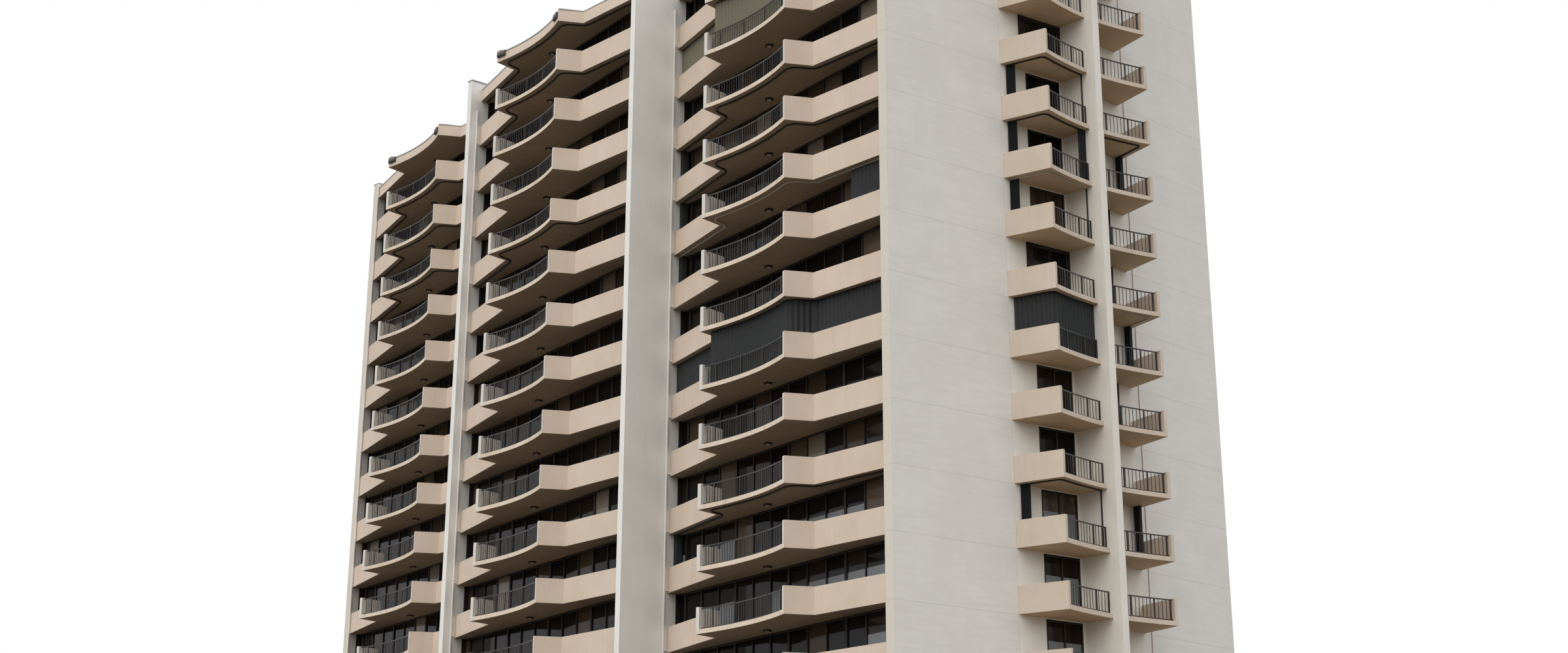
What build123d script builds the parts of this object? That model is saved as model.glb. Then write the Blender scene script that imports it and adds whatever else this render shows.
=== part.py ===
from build123d import *
import math
import os

# Apartment tower of three staggered blocks, a scale model at 1:2.
# All lengths are millimetres of the model, so each is half the real length.
# X runs along the front from the far end to the near end, Y goes in from the front, Z is up.

# Storeys
storey_count = 17
storey_height = 1370
ground_height = 1550
slab_thickness = 100
ground_slab_thickness = 150

# One bay of the front, from cross wall to cross wall
bay_length = 9140
bay_turn = 7.33
panel_length = 2620
panel_turn = 7.2
wing_inward = 215
wing_outward = 630
curve_depth = 215
glass_setback = 350
glass_thickness = 20
ground_slab_margin = 60

# Parapets and railings
parapet_height = 586
parapet_thickness = 100
rail_size = 25
rail_inset = 80
rail_drop = 18
bottom_rail_gap = 18
post_count = 4
post_spacing = 878

# Blocks: how far each one stands back from the nearest one, and half of their depth
middle_setback = 220
far_setback = 2550
block_half_depth = 5100

# Cross walls between the blocks
cross_wall_thickness = 180
near_cross_wall_reach = 430
far_cross_wall_reach = 350
cross_wall_rise = 540

# Gable walls at the two ends, each bent outwards at its middle
gable_thickness = 250
near_gable_bulge = 380
near_gable_reach = 230
far_gable_reach = 30
near_gable_corner_rise = 680
far_gable_corner_rise = 490
gable_strip_rise = 770
gable_sweep_sag = 65

# Strip of balconies in the middle of each gable
strip_half_width = 1990
balcony_half_width = 1715
balcony_reach = 1020
balcony_fin_reach = 785
balcony_curve_depth = 40
gable_parapet_thickness = 75
gable_post_shares = (0.0, 0.28, 0.72, 1.0)
fin_thickness = 210
fin_rise = 660
door_side = 175
door_width = 1050
door_height = 1245
door_glass_setback = 30
door_glass_thickness = 20

# Roof edge
roof_edge_height = 322
roof_eave_height = 230

# Drain pipes at the far end of each bay, in front of the parapets, with an outlet at every storey
pipe_radius = 28
outlet_radius = 20
pipe_from_wall = 45
pipe_from_parapet = {"near": 145, "middle": 145, "far": 55}
pipe_top_over_roof = {"near": -340, "middle": -340, "far": 440}

# Folding storm shutters of narrow leaves, on a track inside the parapets and the railings
shutter_inset = 135
track_radius = 200
shutter_leaf = 62
shutter_fold = 44
shutter_skin = 8
closed_shutters = {
    9: ("near panel", "near wing", "curve", "far wing", "far panel"),
    11: ("near end",),
    15: ("curve", "far wing", "far panel"),
}
part_closed_length = 1540
closed_gable_shutter = 9

# Stacks of folded leaves on the gable balconies, by the wall end and by the fin
stack_length = 215
stack_depth = 60
stack_leaf = 13
track_from_wall = 60
end_post_size = 25
wall_stacks = {"front": (6, 11, 12, 13), "rear": (6, 9, 12)}
fin_stacks = {"front": (12,), "rear": ()}
end_posts = {"front": (6, 11, 13), "rear": ()}

turn = math.radians(bay_turn)
block_length = bay_length * math.cos(turn)
bay_fall = bay_length * math.sin(turn)
block_pitch = block_length + cross_wall_thickness
depth = 2 * block_half_depth
storey_clear = storey_height - slab_thickness
soffits = [ground_height + storey_height * i for i in range(storey_count)]
roof_soffit = ground_height + storey_height * storey_count
gable_halves = {
    "near": block_half_depth + near_gable_reach,
    "far": block_half_depth - bay_fall + far_gable_reach,
}
gable_slope = near_gable_bulge / gable_halves["near"]
block_places = {
    "near": (0, 0),
    "middle": (-block_pitch, middle_setback),
    "far": (-2 * block_pitch, far_setback),
}


def in_bay(along, out):
    """A plan point given along the bay's chord from its near end, and out from that chord."""
    x = -along * math.cos(turn) - out * math.sin(turn)
    y = along * math.sin(turn) - out * math.cos(turn)
    return (x, y)


def prism(points, height, bottom=0.0):
    """A solid that stands on the plan polygon through the points."""
    face = make_face(Polyline(*points, close=True))
    return Pos(0, 0, bottom) * extrude(face, amount=height, dir=(0, 0, 1))


def on_rear(shape):
    """The same shape on the rear side of its block."""
    return mirror(shape, about=Plane.XZ.offset(-block_half_depth))


def storey_copies(shape, heights):
    return [Pos(0, 0, height) * shape for height in heights]


def save(name, shapes):
    """Write one node, moved so that the middle of the footprint is the origin."""
    solids = [solid for shape in shapes for solid in shape.solids()]
    export_step(Pos(-middle_x, -middle_y, 0) * Compound(children=solids), f"parts/{name}.step")


# The outline of one bay: straight panels, splayed wings and a hollow curve between their tips
panel_out = panel_length * math.tan(math.radians(panel_turn))
near_kink = (panel_length, panel_out)
far_kink = (bay_length - panel_length, panel_out)
near_tip = (panel_length + wing_inward, panel_out + wing_outward)
far_tip = (bay_length - panel_length - wing_inward, panel_out + wing_outward)
curve_middle = (bay_length / 2, panel_out + wing_outward - curve_depth)
half_chord = (far_tip[0] - near_tip[0]) / 2
curve_radius = (half_chord**2 + curve_depth**2) / (2 * curve_depth)
half_angle = math.asin(half_chord / curve_radius)
beyond = 2 * gable_thickness


def along_panel(at):
    """A point on the straight panel's line, also past the wall it ends at."""
    return (at, at * math.tan(math.radians(panel_turn)))


def inset_line(start, end, distance):
    """The line from start to end, moved towards the inside of the bay."""
    dx, dy = end[0] - start[0], end[1] - start[1]
    length = math.hypot(dx, dy)
    nx, ny = dy / length * distance, -dx / length * distance
    return (start[0] + nx, start[1] + ny), (end[0] + nx, end[1] + ny)


def crossing(first, second):
    """Where two lines cross, each given by two points."""
    (ax, ay), (bx, by) = first
    (cx, cy), (dx, dy) = second
    cut = (bx - ax) * (dy - cy) - (by - ay) * (dx - cx)
    share = ((cx - ax) * (dy - cy) - (cy - ay) * (dx - cx)) / cut
    return (ax + share * (bx - ax), ay + share * (by - ay))


def parapet_band(past_tip=0.0):
    """Plan points of the near parapet: straight panel, kink and splayed wing."""
    start = along_panel(-beyond)
    panel = inset_line(start, near_kink, parapet_thickness)
    wing = inset_line(near_kink, near_tip, parapet_thickness)
    inner_kink = crossing(panel, wing)
    wing_x, wing_y = near_tip[0] - near_kink[0], near_tip[1] - near_kink[1]
    stretch = past_tip / math.hypot(wing_x, wing_y)
    tip = (near_tip[0] + wing_x * stretch, near_tip[1] + wing_y * stretch)
    inner_tip = (wing[1][0] + wing_x * stretch, wing[1][1] + wing_y * stretch)
    return [start, near_kink, tip, inner_tip, inner_kink, panel[0]]


def other_hand(points):
    return [(bay_length - along, out) for along, out in points]


def on_curve(angle, inset):
    """A plan point at an inset from the hollow curve, by its angle from the curve's middle."""
    reach = curve_radius + inset
    return (curve_middle[0] + reach * math.sin(angle), curve_middle[1] + curve_radius - reach * math.cos(angle))


def curve_face(inset_near, inset_far):
    """The plan strip that follows the hollow curve, between two insets from it."""
    edges = []
    ends = []
    for inset in (inset_near, inset_far):
        near = in_bay(near_tip[0], near_tip[1] - inset)
        middle = in_bay(curve_middle[0], curve_middle[1] - inset)
        far = in_bay(far_tip[0], far_tip[1] - inset)
        edges.append(ThreePointArc(near, middle, far))
        ends.append((near, far))
    edges.append(Line(ends[0][0], ends[1][0]))
    edges.append(Line(ends[0][1], ends[1][1]))
    return make_face(Curve() + edges)


def clear_region(block):
    """Plan polygon between the walls that close a block, ahead of it and behind it too."""
    low, high = -depth, 2 * depth
    right = [(0, low), (0, high)]
    left = [(-block_length, high), (-block_length, low)]
    half = gable_halves.get(block, 0)
    front, rear = block_half_depth - half, block_half_depth + half
    if block == "near":
        face = -gable_thickness
        right = [(face, low), (face, front), (face + gable_slope * half, block_half_depth)]
        right += [(face, rear), (face, high)]
    if block == "far":
        face = -block_length
        left = [(face, high), (face, rear), (face - gable_slope * half, block_half_depth)]
        left += [(face, front), (face, low)]
    return right + left


def bay_edges():
    """The edges of a block's outline along its front, from the near end to the far end."""
    start = in_bay(*along_panel(-beyond))
    end = in_bay(*other_hand([along_panel(-beyond)])[0])
    path = Polyline(start, in_bay(*near_kink), in_bay(*near_tip))
    path += ThreePointArc(in_bay(*near_tip), in_bay(*curve_middle), in_bay(*far_tip))
    path += Polyline(in_bay(*far_tip), in_bay(*far_kink), end)
    return path, start, end


def floor_outline():
    front, start, end = bay_edges()
    rear = mirror(front, about=Plane.XZ.offset(-block_half_depth))
    edges = front + rear
    edges += Line(start, (start[0], depth - start[1]))
    edges += Line(end, (end[0], depth - end[1]))
    return make_face(edges)


def railing():
    """One balcony railing: a top rail and a bottom rail on posts, along the hollow curve."""
    band = curve_face(rail_inset, rail_inset + rail_size)
    rail = extrude(band, amount=rail_size, dir=(0, 0, 1))
    top = parapet_height - rail_drop - rail_size
    parts = [Pos(0, 0, top) * rail, Pos(0, 0, slab_thickness + bottom_rail_gap) * rail]
    for i in range(post_count):
        angle = (i - (post_count - 1) / 2) * post_spacing / curve_radius
        along, out = on_curve(angle, rail_inset)
        corner_x = rail_size / 2 * math.cos(angle)
        corner_y = rail_size / 2 * math.sin(angle)
        deep_x, deep_y = rail_size * math.sin(angle), -rail_size * math.cos(angle)
        foot = [
            (along - corner_x, out - corner_y),
            (along + corner_x, out + corner_y),
            (along + corner_x + deep_x, out + corner_y + deep_y),
            (along - corner_x + deep_x, out - corner_y + deep_y),
        ]
        parts.append(prism([in_bay(*p) for p in foot], top + rail_size - slab_thickness, slab_thickness))
    return parts[0] + parts[1:]


outline = floor_outline()
near_band = [in_bay(*p) for p in parapet_band(past_tip=curve_depth)]
far_band = [in_bay(*p) for p in other_hand(parapet_band(past_tip=curve_depth))]
glass_line = [
    in_bay(-beyond, -glass_setback),
    in_bay(bay_length + beyond, -glass_setback),
    in_bay(bay_length + beyond, -glass_setback - glass_thickness),
    in_bay(-beyond, -glass_setback - glass_thickness),
]
ground_front = [in_bay(-beyond, ground_slab_margin - glass_setback)]
ground_front += [in_bay(bay_length + beyond, ground_slab_margin - glass_setback)]
ground_plan = ground_front + [(x, depth - y) for x, y in reversed(ground_front)]

# Where the two gables bend, and the middle of the whole footprint
near_bend_x = gable_slope * gable_halves["near"]
far_bend_x = block_places["far"][0] - block_length - gable_thickness
far_bend_x -= gable_slope * gable_halves["far"]
middle_x = (near_bend_x + far_bend_x) / 2
front_y = in_bay(*near_tip)[1]
rear_y = far_setback + depth - front_y
middle_y = (front_y + rear_y) / 2

os.makedirs("parts", exist_ok=True)

# Each block: floors, roof, parapets, railings and glass on both of its long sides
ground_solids = []
roofs = []
roof_edges = []
roof_eaves = []
for block, (block_x, block_y) in block_places.items():
    place = Pos(block_x, block_y, 0)
    clear = prism(clear_region(block), 2 * storey_height, -storey_height / 2)
    outline_solid = extrude(outline, amount=parapet_height, dir=(0, 0, 1))
    bands = prism(near_band, parapet_height) + prism(far_band, parapet_height)
    parapets = bands & outline_solid & clear
    rear_parapets = on_rear(parapets)
    slab = extrude(outline, amount=slab_thickness, dir=(0, 0, 1)) & clear
    slab = slab - parapets - rear_parapets
    rails = railing() - parapets
    glass = prism(glass_line, storey_clear, slab_thickness) & clear
    ground_glass = prism(glass_line, ground_height - ground_slab_thickness, ground_slab_thickness)
    ground_glass = ground_glass & clear
    ground_solids.append(place * (prism(ground_plan, ground_slab_thickness) & clear))

    edges = prism(near_band, roof_edge_height) + prism(far_band, roof_edge_height)
    edges = edges & outline_solid & clear
    eave = extrude(curve_face(0, parapet_thickness), amount=roof_eave_height, dir=(0, 0, 1)) - edges
    roof = extrude(outline, amount=slab_thickness, dir=(0, 0, 1)) & clear
    roof = roof - edges - on_rear(edges) - eave - on_rear(eave)
    on_roof = place * Pos(0, 0, roof_soffit)
    roofs.append(on_roof * roof)
    roof_edges += [on_roof * edges, on_roof * on_rear(edges)]
    roof_eaves += [on_roof * eave, on_roof * on_rear(eave)]

    save(f"floors_{block}", [place * s for s in storey_copies(slab, soffits)])
    sides = {"front": lambda shape: shape, "rear": on_rear}
    for side, turned in sides.items():
        save(f"{side}_parapets_{block}", [place * s for s in storey_copies(turned(parapets), soffits)])
        save(f"{side}_railings_{block}", [place * s for s in storey_copies(turned(rails), soffits)])
    panes = storey_copies(glass, soffits) + [ground_glass]
    panes += [on_rear(pane) for pane in panes]
    save(f"glazing_{block}", [place * pane for pane in panes])
save("ground_slab", ground_solids)
save("roof", roofs)
save("roof_edges", roof_edges)
save("roof_eaves", roof_eaves)

# The cross walls run from ground to roof and stand out past the bays that meet at them
wall_ends = {
    "near": (0, 0, bay_fall, middle_setback, near_cross_wall_reach),
    "far": (-block_pitch, middle_setback, bay_fall + middle_setback, far_setback, far_cross_wall_reach),
}
for name, (wall_x, own_y, far_end_y, next_y, reach) in wall_ends.items():
    front = min(far_end_y, next_y) - reach
    rear = max(2 * own_y + depth - far_end_y, next_y + depth) + reach
    right = wall_x - block_length
    left = right - cross_wall_thickness
    plan = [(right, front), (right, rear), (left, rear), (left, front)]
    save(f"cross_wall_{name}", [prism(plan, roof_soffit + cross_wall_rise)])


def gable_wall_plan(start, end):
    """Plan of a length of the gable wall, measured from the bend, with x out from the bend."""
    outer = [(-gable_slope * start, start), (-gable_slope * end, end)]
    return outer + [(x - gable_thickness, y) for x, y in reversed(outer)]


def blank_wall(half, corner_rise):
    """The windowless half of a gable, with its top swept up towards the balconies."""
    corner = (half, roof_soffit + corner_rise)
    strip = (strip_half_width, roof_soffit + gable_strip_rise)
    dip = ((corner[0] + strip[0]) / 2, (corner[1] + strip[1]) / 2 - gable_sweep_sag)
    edges = Polyline((strip_half_width, roof_soffit), (strip_half_width, 0), (half, 0), (half, roof_soffit))
    edges += Line((half, roof_soffit), corner)
    edges += ThreePointArc(corner, dip, strip)
    edges += Line(strip, (strip_half_width, roof_soffit))
    profile = Plane.YZ * make_face(edges)
    side = extrude(profile, amount=2 * gable_thickness + near_bend_x, both=True)
    return side & prism(gable_wall_plan(strip_half_width, half), 2 * roof_soffit)


def balcony_curve(inset):
    """The front edge of a gable balcony, from its outer corner to the fin."""
    outer = (balcony_reach - inset, balcony_half_width)
    inner = (balcony_fin_reach - inset, fin_thickness / 2)
    dip = ((outer[0] + inner[0]) / 2 - balcony_curve_depth, (outer[1] + inner[1]) / 2)
    return outer, dip, inner


def balcony_strip(inset, width):
    """The plan strip that follows the front edge of a gable balcony."""
    first, second = balcony_curve(inset), balcony_curve(inset + width)
    edges = ThreePointArc(*first) + ThreePointArc(*second)
    edges += Line(first[0], second[0])
    edges += Line(first[2], second[2])
    return make_face(edges)


def side_band():
    """Plan of a gable balcony's side parapet, also past its outer corner."""
    wall = (-gable_slope * strip_half_width, strip_half_width)
    tip = (balcony_reach, balcony_half_width)
    stretch = 1.2
    far_tip = (wall[0] + stretch * (tip[0] - wall[0]), wall[1] + stretch * (tip[1] - wall[1]))
    length = math.hypot(tip[0] - wall[0], tip[1] - wall[1])
    nx = (tip[1] - wall[1]) / length * gable_parapet_thickness
    ny = -(tip[0] - wall[0]) / length * gable_parapet_thickness
    return [wall, far_tip, (far_tip[0] + nx, far_tip[1] + ny), (wall[0] + nx, wall[1] + ny)]


# One half of a gable's strip of balconies, on the positive side of the fin
wall_corner = (-gable_slope * strip_half_width, strip_half_width)
fin_corner = (-gable_slope * fin_thickness / 2, fin_thickness / 2)
outer_corner, dip_point, inner_corner = balcony_curve(0)
balcony_edges = Polyline(inner_corner, fin_corner, wall_corner, outer_corner)
balcony_edges += ThreePointArc(outer_corner, dip_point, inner_corner)
balcony_plan = make_face(balcony_edges)
wall_half_space = prism([(-gable_slope * 3000, 3000), (0, 0), (3000, 0), (3000, 3000)], 2000, -500)
balcony_block = extrude(balcony_plan, amount=gable_strip_rise, dir=(0, 0, 1))
side_parapet = balcony_block & prism(side_band(), parapet_height) & wall_half_space
balcony_slab = extrude(balcony_plan, amount=slab_thickness, dir=(0, 0, 1)) - side_parapet
gable_rail = extrude(balcony_strip(rail_inset, rail_size), amount=rail_size, dir=(0, 0, 1))
rail_top = parapet_height - rail_drop - rail_size
gable_rails = Pos(0, 0, rail_top) * gable_rail + Pos(0, 0, slab_thickness + bottom_rail_gap) * gable_rail
for share in gable_post_shares:
    post_y = fin_thickness / 2 + share * (balcony_half_width - 1.5 * gable_parapet_thickness - fin_thickness / 2)
    post_zone = Pos(balcony_reach / 2, post_y + rail_size / 2, 0) * Box(
        2 * balcony_reach, rail_size, 2 * rail_top + 2 * rail_size
    )
    post = extrude(balcony_strip(rail_inset, rail_size), amount=rail_top + rail_size, dir=(0, 0, 1))
    post = post - Box(4000, 4000, 2 * slab_thickness)
    gable_rails += post & post_zone
gable_rails = gable_rails - side_parapet
canopy = extrude(balcony_plan, amount=slab_thickness, dir=(0, 0, 1))
canopy += balcony_block & prism(side_band(), gable_strip_rise) & wall_half_space
canopy += extrude(balcony_strip(0, gable_parapet_thickness), amount=roof_edge_height, dir=(0, 0, 1))
doorway = gable_wall_plan(door_side, door_side + door_width)
door_glass = [
    (-gable_slope * door_side - door_glass_setback, door_side),
    (-gable_slope * (door_side + door_width) - door_glass_setback, door_side + door_width),
]
door_glass += [(x - door_glass_thickness, y) for x, y in reversed(door_glass)]
head = storey_clear - door_height
lintel = prism(doorway, head + slab_thickness, -head)
ground_panel = prism(doorway, ground_height + slab_thickness)
roof_lintel = prism(doorway, head + roof_edge_height, roof_soffit - head)
door = prism(door_glass, door_height, slab_thickness)
side_pier = prism(gable_wall_plan(door_side + door_width, strip_half_width), roof_soffit + roof_edge_height)
fin_plan = [
    (-gable_thickness, -fin_thickness / 2),
    (balcony_reach, -fin_thickness / 2),
    (balcony_reach, fin_thickness / 2),
    (-gable_thickness, fin_thickness / 2),
]
inner_pier = prism(gable_wall_plan(fin_thickness / 2, door_side), roof_soffit + roof_edge_height)


def both_halves(shapes):
    return shapes + [mirror(shape, about=Plane.XZ) for shape in shapes]


lintels = [ground_panel] + storey_copies(lintel, soffits[1:]) + [roof_lintel]
gable_nodes = {
    "gable_fin": [prism(fin_plan, roof_soffit + fin_rise)],
    "gable_piers": both_halves([inner_pier, side_pier]),
    "gable_lintels": both_halves(lintels),
    "gable_balconies": both_halves(storey_copies(balcony_slab, soffits)),
    "gable_parapets": both_halves(storey_copies(side_parapet, soffits)),
    "gable_railings": both_halves(storey_copies(gable_rails, soffits)),
    "gable_doors": both_halves(storey_copies(door, soffits)),
    "gable_canopy": both_halves([Pos(0, 0, roof_soffit) * canopy]),
}
corner_rises = {"near": near_gable_corner_rise, "far": far_gable_corner_rise}
for end, half in gable_halves.items():
    shapes_of = dict(gable_nodes, gable_walls=both_halves([blank_wall(half, corner_rises[end])]))
    for name, shapes in shapes_of.items():
        if end == "near":
            placed = [Pos(near_bend_x, block_half_depth, 0) * shape for shape in shapes]
        else:
            place = Pos(far_bend_x, far_setback + block_half_depth, 0)
            placed = [place * mirror(shape, about=Plane.YZ) for shape in shapes]
        save(f"{name}_{end}", placed)

# Drain pipes stand ahead of the parapets' far ends, and take an outlet from every balcony
outlet = Rot(-90, 0, 0) * extrude(Circle(outlet_radius), amount=storey_height / 4, dir=(0, 0, 1))
bracket = Pos(-pipe_from_wall / 2, 0, parapet_height) * Box(pipe_from_wall, pipe_radius, pipe_radius)
pipes = []
for block, (block_x, block_y) in block_places.items():
    at_wall = Pos(pipe_from_wall - block_length, bay_fall - pipe_from_parapet[block], 0)
    pipe_height = roof_soffit + pipe_top_over_roof[block]
    pipe = at_wall * extrude(Circle(pipe_radius), amount=pipe_height, dir=(0, 0, 1))
    stub = at_wall * Pos(0, 0, slab_thickness / 2) * outlet
    fitting = stub - prism(far_band, parapet_height) - prism(glass_line, storey_height)
    fitting = fitting.solids().sort_by(Axis.Y)[0]
    pipe += storey_copies(fitting, soffits)
    if block != "far":
        pipe += storey_copies(at_wall * bracket, soffits)
    pipes += [Pos(block_x, block_y, 0) * side for side in (pipe, on_rear(pipe))]
save("drain_pipes", pipes)


def folded_leaves(track, start, end, leaf, fold):
    """Plan polygon of shutter leaves in a zigzag along part of their track."""
    count = 2 * round((end - start) / leaf / 2)
    faces = ([], [])
    for i in range(count + 1):
        reach = start + (end - start) * i / count
        point = track.position_at(reach, position_mode=PositionMode.LENGTH)
        heading = track.tangent_at(reach, position_mode=PositionMode.LENGTH)
        for face, inset in zip(faces, (fold * (i % 2), fold * (i % 2) + shutter_skin)):
            face.append((point.X + heading.Y * inset, point.Y - heading.X * inset))
    return faces[0] + faces[1][::-1]


# The track of a bay's storm shutter runs inside the panels, the wings and the curve
panel_line = inset_line(along_panel(0), near_kink, shutter_inset)
wing_line = inset_line(near_kink, near_tip, shutter_inset)
curve_line = (on_curve(-half_angle, shutter_inset), on_curve(-half_angle * 0.9, shutter_inset))
kink_corner = crossing(panel_line, wing_line)
tip_corner = crossing(wing_line, curve_line)
near_track = [panel_line[0], kink_corner, tip_corner]
middle_track = [on_curve(half_angle * i / 4, shutter_inset) for i in range(-3, 4)]
bay_track = FilletPolyline(*near_track, *middle_track, *other_hand(near_track)[::-1], radius=track_radius)
panel_end = math.dist(panel_line[0], kink_corner)
wing_end = panel_end + math.dist(kink_corner, tip_corner) - track_radius / 2
sections = {
    "near end": (0, part_closed_length),
    "near panel": (0, panel_end),
    "near wing": (panel_end, wing_end),
    "curve": (wing_end, bay_track.length - wing_end),
    "far wing": (bay_track.length - wing_end, bay_track.length - panel_end),
    "far panel": (bay_track.length - panel_end, bay_track.length),
}
shutters = []
clear = prism(clear_region("near"), 2 * storey_height, -storey_height / 2)
for storey, closed in closed_shutters.items():
    for section in closed:
        leaves = folded_leaves(bay_track, *sections[section], shutter_leaf, shutter_fold)
        sheet = prism([in_bay(*point) for point in leaves], storey_clear, slab_thickness)
        shutters.append(Pos(0, 0, soffits[storey]) * (sheet & clear))

# The track of a gable balcony's shutter runs inside the side parapet and the front edge
side_start, side_end = inset_line(wall_corner, outer_corner, shutter_inset)
side_length = math.dist(side_start, side_end)
share = (track_from_wall + shutter_inset * gable_slope) / side_length
side_start = tuple(a + (b - a) * share for a, b in zip(side_start, side_end))
edge_outer, edge_dip, edge_inner = balcony_curve(shutter_inset)
edge_corner = crossing((side_start, side_end), (edge_outer, edge_dip))
gable_track = FilletPolyline(side_start, edge_corner, edge_dip, edge_inner, radius=track_radius)
track_end = gable_track.length
corner_at = math.dist(side_start, edge_corner) - track_radius / 4
side_leaves = folded_leaves(gable_track, 0, corner_at, shutter_leaf, shutter_fold)
edge_leaves = folded_leaves(gable_track, corner_at, track_end, shutter_leaf, shutter_fold)
wall_stack = folded_leaves(gable_track, 0, stack_length, stack_leaf, stack_depth)
fin_stack = folded_leaves(gable_track, track_end - stack_length, track_end, stack_leaf, stack_depth)
end_post = Pos(edge_inner[0] - end_post_size, edge_inner[1] + end_post_size, 0)
end_post *= Box(end_post_size, end_post_size, storey_clear, align=(Align.CENTER, Align.CENTER, Align.MIN))


def on_gable(shape, side, storey):
    """A shutter piece on the floor of one of the near gable's balconies."""
    turned = mirror(shape, about=Plane.XZ) if side == "front" else shape
    return Pos(near_bend_x, block_half_depth, soffits[storey] + slab_thickness) * turned


for leaves in (side_leaves, edge_leaves):
    shutters.append(on_gable(prism(leaves, storey_clear), "front", closed_gable_shutter))
for side in ("front", "rear"):
    shutters += [on_gable(prism(wall_stack, storey_clear), side, storey) for storey in wall_stacks[side]]
    shutters += [on_gable(prism(fin_stack, storey_clear), side, storey) for storey in fin_stacks[side]]
    shutters += [on_gable(end_post, side, storey) for storey in end_posts[side]]
save("storm_shutters", shutters)
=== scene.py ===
import bpy
import math
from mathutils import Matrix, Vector


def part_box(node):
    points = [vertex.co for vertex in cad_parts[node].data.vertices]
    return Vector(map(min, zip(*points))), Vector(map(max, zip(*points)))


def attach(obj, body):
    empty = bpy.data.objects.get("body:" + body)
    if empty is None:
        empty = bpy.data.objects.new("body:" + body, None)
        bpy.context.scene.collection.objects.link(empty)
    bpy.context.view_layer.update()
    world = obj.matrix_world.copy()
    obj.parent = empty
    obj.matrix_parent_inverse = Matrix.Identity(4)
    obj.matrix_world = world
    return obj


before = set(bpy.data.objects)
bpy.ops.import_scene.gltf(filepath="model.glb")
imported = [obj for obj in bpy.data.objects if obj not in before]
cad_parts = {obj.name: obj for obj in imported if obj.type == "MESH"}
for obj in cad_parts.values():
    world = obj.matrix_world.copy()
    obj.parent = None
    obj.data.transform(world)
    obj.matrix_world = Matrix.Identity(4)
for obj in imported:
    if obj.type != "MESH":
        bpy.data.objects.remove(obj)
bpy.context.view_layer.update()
scene = bpy.context.scene
scene.view_settings.view_transform = "Standard"

# Camera. The photograph looks up at the tower from a person's height, off its near front corner,
# with a moderate tele lens; the shift keeps the frame on the upper storeys. The near corner is the
# place where the line of the near block's front meets the gable.
view = bpy.data.cameras.new("street_view")
view.sensor_fit = "HORIZONTAL"
view.sensor_width = 36.0
view.lens = 53.28
view.shift_y = -0.12917
view.clip_end = 600.0
photographer = bpy.data.objects.new("street_view", view)
scene.collection.objects.link(photographer)
scene.camera = photographer
bay_turn = math.radians(7.33)
bay_length = 9.140
wing_reach = 0.5916
corner_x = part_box("cross_wall_near")[1].x + bay_length * math.cos(bay_turn)
corner_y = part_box("front_parapets_near")[0].y + wing_reach
near_corner = Vector((corner_x, corner_y, 0.0))
photographer.location = near_corner + Vector((33.660, -32.450, 0.801))
photographer.rotation_euler = (math.radians(90 + 20.82), math.radians(-0.07), math.radians(48.94))

# Daylight. An overcast sky lights the tower evenly from above and the front, and the ground
# sends little back, so the undersides of the balconies stay dark. The backdrop is plain white.
world = bpy.data.worlds.new("overcast_sky")
scene.world = world
world.use_nodes = True


def linear(hex_colour):
    """An sRGB hex colour as the linear values that a shader takes."""
    parts = [int(hex_colour[i:i + 2], 16) / 255 for i in (1, 3, 5)]
    return [c / 12.92 if c <= 0.04045 else ((c + 0.055) / 1.055) ** 2.4 for c in parts] + [1.0]


def add(tree, kind, inputs=None, **settings):
    """Add a node, set its options, and set or link its inputs by name or number."""
    node = tree.nodes.new(kind)
    for name, value in settings.items():
        setattr(node, name, value)
    for key, value in (inputs or {}).items():
        socket = node.inputs[key]
        if isinstance(value, bpy.types.NodeSocket):
            tree.links.new(value, socket)
        else:
            socket.default_value = value
    return node


def calc(tree, operation, *values, **settings):
    """The result of a math node on one to three values."""
    return add(tree, "ShaderNodeMath", dict(enumerate(values)), operation=operation, **settings).outputs[0]


def between(tree, value, start, end, low, high):
    """A value that goes from low to high while another goes from start to end, and stays there."""
    limits = {"Value": value, "From Min": start, "From Max": end, "To Min": low, "To Max": high}
    return add(tree, "ShaderNodeMapRange", limits).outputs["Result"]


def blend(tree, share, first, second, **settings):
    """A colour that goes from the first to the second with a share."""
    colours = {"Factor": share, "A": first, "B": second}
    return add(tree, "ShaderNodeMix", colours, data_type="RGBA", **settings).outputs["Result"]


def part_of(tree, vector, letter):
    """One of the three parts of a vector."""
    return add(tree, "ShaderNodeSeparateXYZ", {0: vector}).outputs[letter]


sky = world.node_tree
sky.nodes.clear()
height = part_of(sky, add(sky, "ShaderNodeTexCoord").outputs["Generated"], "Z")
brightness = between(sky, height, -0.06, 0.14, 0.06, 1.12)
rays = add(sky, "ShaderNodeLightPath").outputs
seen = calc(sky, "MAXIMUM", rays["Is Camera Ray"], rays["Is Transmission Ray"])
daylight = add(sky, "ShaderNodeBackground", {"Color": linear("#F8F9FD"), "Strength": brightness})
backdrop = add(sky, "ShaderNodeBackground", {"Color": (1, 1, 1, 1), "Strength": 1.0})
shown = add(sky, "ShaderNodeMixShader", {0: seen, 1: daylight.outputs[0], 2: backdrop.outputs[0]})
add(sky, "ShaderNodeOutputWorld", {"Surface": shown.outputs[0]})

glow = bpy.data.lights.new("bright_cloud", "SUN")
glow.energy = 1.1
glow.angle = math.radians(70)
glow.color = linear("#FFFAF2")[:3]
cloud = bpy.data.objects.new("bright_cloud", glow)
cloud.rotation_euler = (math.radians(50), 0.0, math.radians(12))
scene.collection.objects.link(cloud)


# Floor. A plain matt ground far past the tower, on which the tower's shadow lies. The camera sees it
# pale, and the light that it sends up is that of a darker street.
def new_material(name):
    """An empty material and its tree."""
    material = bpy.data.materials.new(name)
    material.use_nodes = True
    material.node_tree.nodes.clear()
    return material, material.node_tree


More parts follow.
